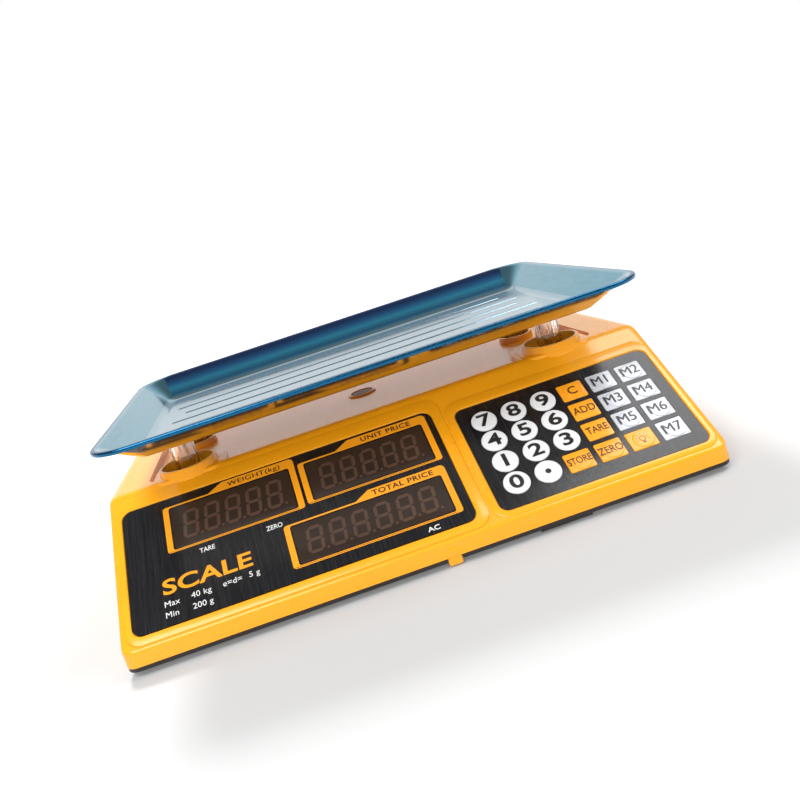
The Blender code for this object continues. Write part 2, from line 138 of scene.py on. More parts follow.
def plastic(name, colour, spread=0.04, rough=(0.22, 0.32), grain=900, depth=0.00002, coat=0.0, spec=0.5,
            stretch=(1, 1, 1), metallic=0.0):
    """Moulded or printed surface: slow colour drift, fine grain in bump and roughness."""
    mat, tree, bsdf = nodes_of(name)
    slow = noise(tree, 14, 3)
    fine = noise(tree, grain, 5, stretch)
    lo = tuple(max(0.0, c * (1 - spread)) for c in colour)
    hi = tuple(min(1.0, c * (1 + spread)) for c in colour)
    link(tree, ramp(tree, slow, ((0.3, lo), (0.7, hi))), bsdf.inputs["Base Color"])
    rough_range(tree, bsdf, fine, *rough)
    bump(tree, bsdf, fine, 0.25, depth)
    bsdf.inputs["Coat Weight"].default_value = coat
    bsdf.inputs["Coat Roughness"].default_value = 0.08
    bsdf.inputs["Specular IOR Level"].default_value = spec
    bsdf.inputs["Metallic"].default_value = metallic
    return mat


def brushed_film(name, low, high, stretch, spec=0.4):
    """Gloss film over a brushed print: fine lines along one direction."""
    mat, tree, bsdf = nodes_of(name)
    lines = noise(tree, 60, 8, stretch)
    link(tree, ramp(tree, lines, ((0.35, low), (0.68, high))), bsdf.inputs["Base Color"])
    rough_range(tree, bsdf, noise(tree, 500, 3), 0.16, 0.24)
    bump(tree, bsdf, lines, 0.12, 0.00003)
    bsdf.inputs["Specular IOR Level"].default_value = spec
    return mat


def metal(name, colour, rough, stretch=(1, 1, 1), scale=300, coat=0.0, depth=0.00002, spread=0.06):
    mat, tree, bsdf = nodes_of(name)
    lines = noise(tree, scale, 6, stretch)
    lo = tuple(c * (1 - spread) for c in colour)
    hi = tuple(min(1.0, c * (1 + spread)) for c in colour)
    link(tree, ramp(tree, lines, ((0.35, lo), (0.65, hi))), bsdf.inputs["Base Color"])
    rough_range(tree, bsdf, lines, *rough)
    bump(tree, bsdf, lines, 0.10, depth)
    bsdf.inputs["Metallic"].default_value = 1.0
    bsdf.inputs["Coat Weight"].default_value = coat
    bsdf.inputs["Coat Roughness"].default_value = 0.05
    return mat


def film_with_painted_reflections(name):
    """Blue film on the flange facing the operator, with painted reflections: light and dark bands by height, darkest
    towards the rim.
    """
    mat, tree, bsdf = nodes_of(name)
    coord = tree.nodes.new("ShaderNodeTexCoord")
    split = tree.nodes.new("ShaderNodeSeparateXYZ")
    height = tree.nodes.new("ShaderNodeMapRange")
    height.inputs["From Min"].default_value, height.inputs["From Max"].default_value = 0.1030, 0.1170
    link(tree, coord.outputs["Object"], split.inputs["Vector"])
    link(tree, split.outputs["Z"], height.inputs["Value"])
    # painted reflection: light and dark bands laid by height along the flange
    stops = ((0.0, (0.10, 0.36, 0.50)), (0.22, (0.018, 0.12, 0.24)), (0.46, (0.030, 0.30, 0.46)),
             (0.66, (0.014, 0.12, 0.30)), (0.86, (0.006, 0.035, 0.13)))
    link(tree, ramp(tree, height.outputs["Result"], stops), bsdf.inputs["Base Color"])
    fac = noise(tree, 60, 5, (0.6, 20, 20))
    rough_range(tree, bsdf, fac, 0.16, 0.24)
    bump(tree, bsdf, fac, 0.08, 0.00003)
    bsdf.inputs["Metallic"].default_value = 0.85
    bsdf.inputs["Coat Weight"].default_value = 0.3
    bsdf.inputs["Coat Roughness"].default_value = 0.05
    return mat


def clear(name, colour, rough, ior=1.49, transmission=1.0):
    mat, tree, bsdf = nodes_of(name)
    fac = noise(tree, 120, 3, (1, 1, 0.25))
    link(tree, ramp(tree, fac, ((0.3, tuple(c * 0.94 for c in colour)), (0.7, colour))), bsdf.inputs["Base Color"])
    rough_range(tree, bsdf, fac, rough, rough + 0.05)
    bump(tree, bsdf, fac, 0.15, 0.0003)
    bsdf.inputs["IOR"].default_value = ior
    bsdf.inputs["Transmission Weight"].default_value = transmission
    return mat


ORANGE = plastic("orange_abs", (0.96, 0.39, 0.006), 0.02, (0.22, 0.30), 1400, 0.00001, 0.25)
ORANGE_PRINT = plastic("orange_print", (0.95, 0.36, 0.012), 0.03, (0.18, 0.26), 1200)
BLACK_ABS = plastic("black_abs", (0.020, 0.016, 0.014), 0.15, (0.38, 0.55), 2200, 0.00006)
LABEL = brushed_film("label_film", (0.004, 0.004, 0.005), (0.016, 0.016, 0.018), (22, 0.5, 0.5))
PANE = plastic("smoked_pane", (0.034, 0.022, 0.016), 0.10, (0.10, 0.16), 700, spec=0.35)
SEGMENT = plastic("segment_off", (0.090, 0.050, 0.034), 0.15, (0.14, 0.20), 900, spec=0.35)
INK = plastic("black_ink", (0.010, 0.010, 0.011), 0.1, (0.25, 0.35), 1500)
INK_BROWN = plastic("title_ink", (0.045, 0.018, 0.006), 0.1, (0.25, 0.35), 1500)
WHITE_INK = plastic("white_ink", (0.82, 0.82, 0.80), 0.04, (0.3, 0.4), 1500)
KEY_WHITE = plastic("key_white", (0.80, 0.81, 0.82), 0.03, (0.18, 0.30), 1100, 0.00003)
KEY_SILVER = plastic("key_silver", (0.52, 0.54, 0.58), 0.05, (0.22, 0.34), 1500, 0.00003, metallic=0.15)
KEY_ORANGE = plastic("key_orange", (0.95, 0.36, 0.012), 0.03, (0.18, 0.28), 1100, 0.00003)
FILM = metal("blue_film", (0.27, 0.42, 0.50), (0.12, 0.20), (0.4, 30, 1), 60, 0.45)
FILM_DEEP = metal("blue_film_flange", (0.12, 0.33, 0.43), (0.10, 0.18), (1, 1, 8), 60, 0.4)
FILM_BACK_PAINTED_REFLECTION = film_with_painted_reflections("blue_film_back_painted_reflection")
HEM = metal("blue_film_hem", (0.008, 0.13, 0.28), (0.20, 0.36), (1, 1, 1), 700, 0.3, 0.0001)
STEEL = metal("pan_steel", (0.62, 0.60, 0.58), (0.10, 0.20), (0.4, 24, 1), 60)
ALU = metal("machined_aluminium", (0.74, 0.74, 0.75), (0.25, 0.4), (1, 40, 1), 60)
ZINC = metal("plated_steel", (0.62, 0.62, 0.63), (0.22, 0.35), (1, 1, 1), 900)
CORE = metal("laminated_core", (0.24, 0.23, 0.22), (0.4, 0.6), (1, 60, 1), 40)
POST = clear("clear_post", (0.97, 0.93, 0.90), 0.03)
VIAL = plastic("vial_amber", (0.10, 0.026, 0.007), 0.1, (0.35, 0.45), 500, spec=0.15)
RUBBER = plastic("foot_rubber", (0.018, 0.018, 0.018), 0.15, (0.6, 0.8), 1600, 0.0001, spec=0.3)
BOARD = plastic("board_green", (0.012, 0.085, 0.030), 0.12, (0.3, 0.45), 1200)
MODULE = plastic("led_module", (0.03, 0.022, 0.018), 0.1, (0.4, 0.55), 1200)
BATTERY = plastic("battery_case", (0.030, 0.030, 0.034), 0.1, (0.4, 0.55), 1300)
ROCKER = plastic("rocker_red", (0.42, 0.012, 0.008), 0.05, (0.18, 0.28), 1200, coat=0.3)


# ---------------------------------------------------------------- outlines and solids
def rrect(x0, x1, y0, y1, r, seg=8):
    pts = []
    for cx, cy, a0 in ((x1 - r, y1 - r, 0), (x0 + r, y1 - r, 90), (x0 + r, y0 + r, 180), (x1 - r, y0 + r, 270)):
        for i in range(seg + 1):
            a = math.radians(a0 + 90 * i / seg)
            pts.append((cx + r * math.cos(a), cy + r * math.sin(a)))
    return pts


def circle(cx, cy, r, seg=48):
    return [(cx + r * math.cos(2 * math.pi * i / seg), cy + r * math.sin(2 * math.pi * i / seg)) for i in range(seg)]


def make(name, verts, faces, mats, place=WORLD, smooth=35, indices=None):
    mesh = bpy.data.meshes.new(name)
    mesh.from_pydata([tuple(place @ Vector(v)) for v in verts], [], faces)
    vol = 0.0
    for p in mesh.polygons:
        v = [mesh.vertices[i].co for i in p.vertices]
        for i in range(1, len(v) - 1):
            vol += v[0].dot(v[i].cross(v[i + 1]))
    if vol < 0:
        mesh.flip_normals()
    for mat in mats:
        mesh.materials.append(mat)
    if indices:
        for p, k in zip(mesh.polygons, indices):
            p.material_index = k
    obj = bpy.data.objects.new(name, mesh)
    bpy.context.scene.collection.objects.link(obj)
    soften(obj, smooth)
    return obj


def soften(obj, angle=35):
    mesh = obj.data
    mesh.polygons.foreach_set("use_smooth", [True] * len(mesh.polygons))
    mesh.set_sharp_from_angle(angle=math.radians(angle))
    mesh.update()


def loft(name, loops, mats, place=WORLD, close=False, smooth=35, bands=None):
    n = len(loops[0])
    verts = [v for loop in loops for v in loop]
    faces, idx = [], []
    pairs = len(loops) if close else len(loops) - 1
    for k in range(pairs):
        a, b = k * n, ((k + 1) % len(loops)) * n
        for i in range(n):
            j = (i + 1) % n
            faces.append((a + i, a + j, b + j, b + i))
            idx.append(bands[k] if bands else 0)
    if not close:
        faces += [tuple(range(n - 1, -1, -1)), tuple(range((len(loops) - 1) * n, len(loops) * n))]
        idx += [bands[0], bands[-1]] if bands else [0, 0]
    return make(name, verts, faces, mats, place, smooth, idx)


def ring_loft(name, levels, mats, place=WORLD, close=True, smooth=40, seg=64, centre=(0, 0)):
    """Turned ring: levels are (radius, height)."""
    loops = [[(x, y, z) for x, y in circle(centre[0], centre[1], r, seg)] for r, z in levels]
    return loft(name, loops, mats, place, close, smooth)


def prism(name, outline, n0, n1, place=WORLD):
    """Straight block, only used as a cutting tool."""
    return loft(name, [[(u, v, n0) for u, v in outline], [(u, v, n1) for u, v in outline]], (), place)


def combine(obj, tools, operation):
    for tool in tools:
        mod = obj.modifiers.new(tool.name, "BOOLEAN")
        mod.operation, mod.solver, mod.object = operation, "EXACT", tool
    bpy.context.view_layer.update()
    mesh = bpy.data.meshes.new_from_object(obj.evaluated_get(bpy.context.evaluated_depsgraph_get()))
    obj.modifiers.clear()
    obj.data = mesh
    for tool in tools:
        bpy.data.objects.remove(tool, do_unlink=True)
    return obj


def place_on(obj, body):
    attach(obj, body)
    return obj


def cushion_top(name, outline_of, n0, n1, edge, mats, place, steps=4, crown=0.0):
    """Raised pad with a rolled edge; outline_of(inset) gives the outline."""
    loops = [[(u, v, n0) for u, v in outline_of(0.0)]]
    for k in range(steps + 1):
        a = k / steps * math.pi / 2
        loops.append([(u, v, n1 - edge * (1 - math.sin(a))) for u, v in outline_of(edge * (1 - math.cos(a)))])
    if crown:
        for k in (0.3, 0.6, 0.9):
            loops.append([(u, v, n1 + crown * math.sin(k * math.pi / 2)) for u, v in outline_of(edge + k * 0.005)])
    return loft(name, loops, mats, place)


# ---------------------------------------------------------------- prints and lettering
def flat_print(name, shapes, height, mat, place, body, thick=0.00003):
    """Filled flat outlines; an outline inside another is a hole."""
    curve = bpy.data.curves.new(name, "CURVE")
    curve.dimensions, curve.fill_mode, curve.extrude = "2D", "BOTH", thick
    for pts in shapes:
        spline = curve.splines.new("POLY")
        spline.points.add(len(pts) - 1)
        for p, (u, v) in zip(spline.points, pts):
            p.co = (u, v, 0, 1)
        spline.use_cyclic_u = True
    return bake_curve(name, curve, place @ Matrix.Translation((0, 0, height)), mat, body)


def bake_curve(name, curve, matrix, mat, body):
    temp = bpy.data.objects.new(name + "_curve", curve)
    bpy.context.scene.collection.objects.link(temp)
    bpy.context.view_layer.update()
    mesh = bpy.data.meshes.new_from_object(temp.evaluated_get(bpy.context.evaluated_depsgraph_get()))
    bpy.data.objects.remove(temp, do_unlink=True)
    mesh.transform(matrix)
    mesh.materials.clear()
    mesh.materials.append(mat)
    obj = bpy.data.objects.new(name, mesh)
    bpy.context.scene.collection.objects.link(obj)
    return place_on(obj, body)


def lettering(name, text, u, v, height, mat, place, size, body, wide=1.0, bold=0.0, align="CENTER",
              gap=1.0, twin=0.0):
    """One word; bold thickens the outlines, twin prints the word again that far to the right."""
    curve = bpy.data.curves.new(name, "FONT")
    curve.body, curve.size, curve.offset, curve.extrude = text, size, bold, 0.00003
    curve.align_x, curve.align_y, curve.space_character = align, "CENTER", gap
    curve.resolution_u = 6
    matrix = place @ Matrix.Translation((u, v, height)) @ Matrix.Diagonal((wide, 1, 1, 1))
    if twin:
        again = curve.copy()
        beside = place @ Matrix.Translation((twin, 0, 0.00001)) @ place.inverted() @ matrix
        bake_curve(name + "_stroke", again, beside, mat, body)
    return bake_curve(name, curve, matrix, mat, body)


def seven_segments(u, v, w, h, t, lean=0.10):
    """The seven bars and the point of one numeral, lower left corner at (u, v)."""
    def bar(x0, y0, x1, y1):
        dx, dy = x1 - x0, y1 - y0
        length = math.hypot(dx, dy)
        ex, ey = dx / length, dy / length
        px, py = -ey * t / 2, ex * t / 2
        g = 0.10 * t
        a, b = (x0 + ex * g, y0 + ey * g), (x1 - ex * g, y1 - ey * g)
        c, d = (a[0] + ex * t / 2, a[1] + ey * t / 2), (b[0] - ex * t / 2, b[1] - ey * t / 2)
        return [a, (c[0] - px, c[1] - py), (d[0] - px, d[1] - py), b, (d[0] + px, d[1] + py), (c[0] + px, c[1] + py)]

    m = h / 2
    bars = [bar(0, h, w, h), bar(0, m, w, m), bar(0, 0, w, 0), bar(0, 0, 0, m), bar(0, m, 0, h), bar(w, 0, w, m),
            bar(w, m, w, h)]
    bars.append(circle(w + t * 1.3, 0, t * 0.42, 12))
    return [[(u + x + y * lean, v + y) for x, y in b] for b in bars]


# ---------------------------------------------------------------- housing
def offset_polygon(pts, dists):
    lines = []
    for i, (ax, ay) in enumerate(pts):
        bx, by = pts[(i + 1) % len(pts)]
        length = math.hypot(bx - ax, by - ay)
        nx, ny = (by - ay) / length, -(bx - ax) / length
        lines.append((nx, ny, nx * ax + ny * ay + dists[i]))
    out = []
    for i in range(len(pts)):
        a, b = lines[i - 1], lines[i]
        det = a[0] * b[1] - a[1] * b[0]
        out.append(((a[2] * b[1] - a[1] * b[2]) / det, (a[0] * b[2] - a[2] * b[0]) / det))
    return out


def fillet(pts, radii, seg=7):
    out = []
    for i, r in enumerate(radii):
        p, a, b = Vector(pts[i]), Vector(pts[i - 1]), Vector(pts[(i + 1) % len(pts)])
        if r <= 0:
            out.append(tuple(p))
            continue
        da, db = (a - p).normalized(), (b - p).normalized()
        half = da.angle(db) / 2
        t = r / math.tan(half)
        centre = p + (da + db).normalized() * r / math.sin(half)
        v0, v1 = p + da * t - centre, p + db * t - centre
        turn = math.atan2(v0.x * v1.y - v0.y * v1.x, v0.dot(v1))
        for k in range(seg + 1):
            c, s = math.cos(turn * k / seg), math.sin(turn * k / seg)
            out.append((centre.x + v0.x * c - v0.y * s, centre.y + v0.x * s + v0.y * c))
    return out


SLOPE = SIN / COS
PROFILE = [(FRONT_Y, HOUSING_BOTTOM), (0.0056, PANEL_Z + (0.0056 - PANEL_Y) * SLOPE),
           (PANEL_Y + (SHOULDER_Z - PANEL_Z) / SLOPE, SHOULDER_Z), (REAR_TOP_Y, SHOULDER_Z), (REAR_Y, HOUSING_BOTTOM)]


def sweep(name, inset, floor, end_r, half_w, mats):
    base = offset_polygon(PROFILE, [inset, inset, inset, inset, floor])
    stations = []
    for a in ((90, 72, 54, 36, 18, 0) if end_r else (0,)):
        ang = math.radians(a)
        stations.append((-half_w + end_r * (1 - math.sin(ang)), end_r * (1 - math.cos(ang))))
    loops = []
    for x, ins in stations + [(-x, ins) for x, ins in reversed(stations)]:
        poly = offset_polygon(base, [ins, ins * 0.42, ins * 0.42, ins * 0.8, 0])
        poly = fillet(poly, (0, 0.0026, 0.012, 0.008, 0))
        loops.append([(x, y, z) for y, z in poly])
    return loft(name, loops, mats)


# (radius, height) of the two collars, from the foot outside over the lip and down the bore
FRONT_COLLAR = ((0.0196, DECK_Z - 0.0006), (0.0194, 0.0752), (0.0189, 0.0762), (0.0188, 0.0788), (0.0186, 0.0793),
                (0.0182, 0.0795), (0.0171, 0.0795), (0.0167, 0.0793), (0.0165, 0.0788), (0.0165, DECK_Z - WALL))
REAR_COLLAR = ((0.0130, DECK_Z - 0.0006), (0.0126, 0.0712), (0.0125, 0.0732), (0.0122, 0.0737), (0.0118, 0.0738),
               (0.0110, 0.0738), (0.0106, 0.0735), (0.0105, 0.0730), (0.0105, DECK_Z - WALL))


def build_housing():
    shell = sweep("housing_shell", 0.0, 0.0, 0.0072, HALF_W, [ORANGE])
    recess = prism("tool_recess", rrect(-0.150, 0.150, 0.1010, 0.36, 0.010), DECK_Z, 0.12)
    shell = combine(shell, [recess], "DIFFERENCE")
    hollow = sweep("tool_hollow", WALL, -0.005, 0.0, HALF_W - WALL, [])
    lid = prism("tool_lid", rrect(-0.3, 0.3, -0.05, 0.4, 0.01), DECK_Z - WALL, 0.2)
    hollow = combine(hollow, [lid], "DIFFERENCE")
    shell = combine(shell, [hollow], "DIFFERENCE")
    tools = [prism("tool_bore", circle(sx * POST_X, y, r), 0.060, 0.12)
             for sx in (-1, 1) for y, r in ((POST_Y[0], FRONT_BORE), (POST_Y[1], REAR_BORE))]
    tools += [prism("tool_vial", circle(0, VIAL_Y, VIAL_R + 0.0002), 0.05, 0.12),
              prism("tool_label", rrect(*LABEL_HOLE), -0.0004, 0.02, place=PANEL),
              prism("tool_keys", rrect(*KEYPAD_HOLE), -0.0012, 0.02, place=PANEL),
              prism("tool_rear", rrect(-0.1122, 0.1122, 0.0178, 0.0602, 0.0052), -0.0012, 0.02, place=REAR),
              prism("tool_bay", rrect(0.1765, 0.2435, 0.0188, 0.0422, 0.002), 0.0, 0.02, place=SIDE)]
    shell = combine(shell, tools, "DIFFERENCE")
    tools = [prism("tool_view", rrect(-0.1420, 0.0250, 0.0160, 0.0915, 0.003), -0.02, 0.02, place=PANEL),
             prism("tool_board", rrect(0.0485, 0.1625, 0.0150, 0.0835, 0.003), -0.02, 0.02, place=PANEL),
             prism("tool_rear_view", rrect(-0.1050, 0.1050, 0.0235, 0.0545, 0.002), -0.02, 0.02, place=REAR),
             prism("tool_switch", rrect(0.1795, 0.1985, 0.0240, 0.0370, 0.001), -0.02, 0.02, place=SIDE),
             prism("tool_inlet", rrect(0.2160, 0.2400, 0.0215, 0.0395, 0.001), -0.02, 0.02, place=SIDE)]
    shell = combine(shell, tools, "DIFFERENCE")
    shell.data.materials.clear()
    shell.data.materials.append(ORANGE)
    soften(shell, 24)
    bev = shell.modifiers.new("edge", "BEVEL")
    bev.width, bev.segments, bev.limit_method, bev.angle_limit = 0.0005, 2, "ANGLE", math.radians(50)
    place_on(shell, "housing")
    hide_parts("upper_housing")

    def bezel(name, outer, r_out, inner, r_in, top, low):
        def at(box, r, grow, n):
            u0, u1, v0, v1 = box[:4]
            return [(u, v, n) for u, v in rrect(u0 - grow, u1 + grow, v0 - grow, v1 + grow, r + grow, 10)]

        loops = [at(outer, r_out, 0, -0.0009), at(outer, r_out, 0, top - 0.0009),
                 at(outer, r_out, -0.0003, top - 0.0003), at(outer, r_out, -0.0011, top),
                 at(inner, r_in, 0.0006, top), at(inner, r_in, 0.0002, top - 0.0003),
                 at(inner, r_in, 0.0, top - 0.0008), at(inner, r_in, 0.0, low)]
        place_on(loft(name, loops, [ORANGE], PANEL, True, 30), "housing")

    bezel("display_bezel", (-0.1712, 0.0366, 0.0044, 0.1062), 0.0098, LABEL_HOLE, LABEL_HOLE[4], 0.0010, -0.0004)
    bezel("keypad_bezel", (0.0384, 0.1718, 0.0044, 0.0972), 0.0088, KEYPAD_HOLE, KEYPAD_HOLE[4], 0.0006, -0.0010)

    for sx, tag in ((-1, "left"), (1, "right")):
        x = sx * POST_X

        def seat_outline(i, x=x):
            return rrect(x - 0.0240 + i, x + 0.0240 - i, 0.0930 + i, 0.1330 - i, 0.010 - i * 0.5)

        seat = cushion_top("collar_seat_" + tag, seat_outline, DECK_Z - 0.0005, 0.0752, 0.0020, [ORANGE], WORLD)
        seat = combine(seat, [prism("tool_bore", circle(x, POST_Y[0], FRONT_BORE), 0.05, 0.12)], "DIFFERENCE")
        soften(seat, 40)
        place_on(seat, "housing")
        for name, levels, y in (("front_collar_", FRONT_COLLAR, POST_Y[0]), ("rear_collar_", REAR_COLLAR, POST_Y[1])):
            collar = ring_loft(name + tag, levels, [ORANGE], centre=(x, y))
            place_on(collar, "housing")
    lip = ring_loft("vial_lip", ((0.0108, DECK_Z - 0.0004), (0.0104, 0.0708), (0.0098, 0.0712), (0.0088, 0.0712),
                                 (0.0082, 0.0709), (0.0082, DECK_Z - WALL)), [ORANGE], centre=(0, VIAL_Y))
    place_on(lip, "housing")
    front = matrix_of(Vector((0, FRONT_Y + 0.0026 - DEPTH / 2, 0)), Vector((1, 0, 0)), Vector((0, 0, 1)),
                      Vector((0, -1, 0)))
    tab = cushion_top("catch_tab", lambda i: rrect(0.0060 + i, 0.0140 - i, 0.0010 + i, 0.0110, 0.0010),
                      0.0, 0.0022, 0.0006, [ORANGE], front)
    place_on(tab, "housing")


# ---------------------------------------------------------------- operator display
TITLES = {"weight": ("WEIGHT(kg)", 0.31, 5, 0.0040), "unit_price": ("UNIT PRICE", 0.25, 5, 0.0054),
          "total_price": ("TOTAL PRICE", 0.42, 6, 0.0030)}
SPEC_TEXT = (("Max", -0.1480, 0.0238), ("40 kg", -0.1326, 0.0241), ("e=d=", -0.1146, 0.0243), ("5 g", -0.0996, 0.0246),
             ("Min", -0.1480, 0.0170), ("200 g", -0.1326, 0.0170))


def window_frame(x0, x1, s0, s1, start):
    """Outline of the printed frame: thin top and foot, thick sides, a title tab at the top right."""
    a, b = x0 - 0.0042, x1 + 0.0044
    low, high, tab = s0 - 0.0021, s1 + 0.0016, s1 + 0.0070
    t = x0 + (x1 - x0) * start
    outer = [(a + 0.0016, low), (b - 0.0016, low), (b - 0.0005, low + 0.0005), (b, low + 0.0016), (b, tab - 0.0024),
             (b - 0.0008, tab - 0.0007), (b - 0.0024, tab), (t + 0.0105, tab), (t + 0.0015, high), (a + 0.0016, high),
             (a + 0.0005, high - 0.0005), (a, high - 0.0016), (a, low + 0.0016), (a + 0.0005, low + 0.0005)]
    return [outer, rrect(x0 - 0.0007, x1 + 0.0007, s0 - 0.0007, s1 + 0.0005, 0.0016, 5)]


def build_display():
    for name, (x0, x1, s0, s1) in WINDOWS.items():
        title, start, count, inset = TITLES[name]

        def pane_outline(i, b=(x0, x1, s0, s1)):
            return rrect(b[0] + 0.0001 + i, b[1] - 0.0001 - i, b[2] + 0.0001 + i, b[3] - 0.0001 - i, 0.0018, 5)

        pane = cushion_top("pane_" + name, pane_outline, -0.0004, 0.00078, 0.0002, [PANE], PANEL)
        place_on(pane, "housing")
        flat_print("frame_" + name, window_frame(x0, x1, s0, s1, start), PRINT_Z, ORANGE_PRINT, PANEL,
                   "housing")
        flat_print("rule_" + name, [rrect(x0 - 0.0035, x1 + 0.0010, s0 - 0.00155, s0 - 0.00125, 0.0001, 2)],
                   INK_Z, INK_BROWN, PANEL, "housing")
        w, h = x1 - x0, s1 - s0
        pitch = (w - 0.010) / count
        shapes = []
        for k in range(count):
            shapes += seven_segments(x0 + 0.0070 + k * pitch, s0 + h * 0.19, pitch * 0.58, h * 0.61, 0.0021)
        flat_print("segments_" + name, shapes, SEGMENT_Z, SEGMENT, PANEL, "housing", 0.00001)
        bold, twin = (0.0, 0.00020) if name == "weight" else (0.00011, 0.0)  # bold outlines spoil the letter W
        lettering("title_" + name, title, x1 - inset, s1 + 0.0037, INK_Z, INK_BROWN, PANEL, 0.0049,
                  "housing", 1.16, bold, "RIGHT", 1.10, twin)
    for tag, u, v, wide in (("TARE", -0.1195, 0.0508, 0.86), ("ZERO", -0.0795, 0.0500, 0.86),
                            ("AC", 0.0048, 0.0136, 1.2)):
        lettering("legend_" + tag.lower(), tag, u, v, PRINT_Z, WHITE_INK, PANEL, 0.0044,
                  "housing", wide, 0.00005)
    lettering("panel_word", "SCALE", -0.1480, 0.0342, PRINT_Z, ORANGE_PRINT, PANEL, 0.0135,
              "housing", 1.35, 0.0003, "LEFT", 1.02)
    for k, (text, u, v) in enumerate(SPEC_TEXT):
        lettering("rating_%d" % k, text, u, v, PRINT_Z, WHITE_INK, PANEL, 0.0051,
                  "housing", 1.0, 0.0, "LEFT", 1.04)


# ---------------------------------------------------------------- keys
LEGENDS = {"key_add": ("ADD", 0.0074, 0.86), "key_tare": ("TARE", 0.0070, 0.80), "key_store": ("STORE", 0.0066, 0.74),
           "key_zero": ("ZERO", 0.0072, 0.80), "key_c": ("C", 0.0086, 1.0)}


def build_key(name, col, row):
    x, s = KEY_X0 + col * KEY_DX, KEY_S0 - row * KEY_DS
    body = name + "_body"
    tail = name[4:]
    if tail.isdigit() or tail == "point":
        cap = cushion_top("cap_" + tail, lambda i: circle(x, s, KEY_R - i, 56), -0.0030, 0.00050, 0.00045,
                          [KEY_WHITE], PANEL, 4, 0.00010)
        place_on(cap, body)
        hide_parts(name)
        if tail == "point":
            flat_print("mark_point", [circle(x, s, 0.0017, 28)], KEY_INK_Z, INK, PANEL, body)
        else:
            lettering("mark_" + tail, tail, x + 0.0001, s, KEY_INK_Z, INK, PANEL, 0.0126, body,
                      1.30, 0.00034)
        return
    mat = KEY_SILVER if tail.startswith("m") else KEY_ORANGE

    def cap_outline(i):
        return rrect(x - KEY_W / 2 + i, x + KEY_W / 2 - i, s - KEY_H / 2 + i, s + KEY_H / 2 - i, 0.0008, 5)

    cap = cushion_top("cap_" + tail, cap_outline, -0.0030, 0.00022, 0.0002, [mat], PANEL)
    place_on(cap, body)
    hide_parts(name)
    dome = ring_loft("dome_" + tail, ((0.0063, 0.00016), (0.00615, 0.00040), (0.0058, 0.00052), (0.0052, 0.00056),
                                      (0.0030, 0.00058)), [mat], PANEL, False, 60, 48, (x + 0.0010, s - 0.0003))
    place_on(dome, body)
    if tail == "light":
        build_lamp_icon(x + 0.0004, s, body)
    elif tail.startswith("m"):
        lettering("mark_" + tail, tail.upper(), x - 0.0004, s + 0.0003, KEY_INK_Z, INK, PANEL, 0.0096, body,
                  0.96, 0.0, twin=0.00030)
    else:
        text, size, wide = LEGENDS[name]
        lettering("mark_" + tail, text, x + 0.0001, s, KEY_INK_Z, INK_BROWN, PANEL, size, body,
                  wide, 0.00007)


def build_lamp_icon(x, s, body):
    shapes = [circle(x, s, 0.0019, 24), circle(x, s, 0.0015, 24),
              rrect(x - 0.0008, x + 0.0008, s - 0.0032, s - 0.0022, 0.0003, 3)]
    for k in range(7):
        a = math.radians(-20 + k * 220 / 6)
        c, d = math.cos(a), math.sin(a)
        ray = ((0.0027, -0.00014), (0.0042, -0.00014), (0.0042, 0.00014), (0.0027, 0.00014))
        shapes.append([(x + c * r - d * t, s + d * r + c * t) for r, t in ray])
    flat_print("mark_light", shapes, KEY_INK_Z, INK_BROWN, PANEL, body)


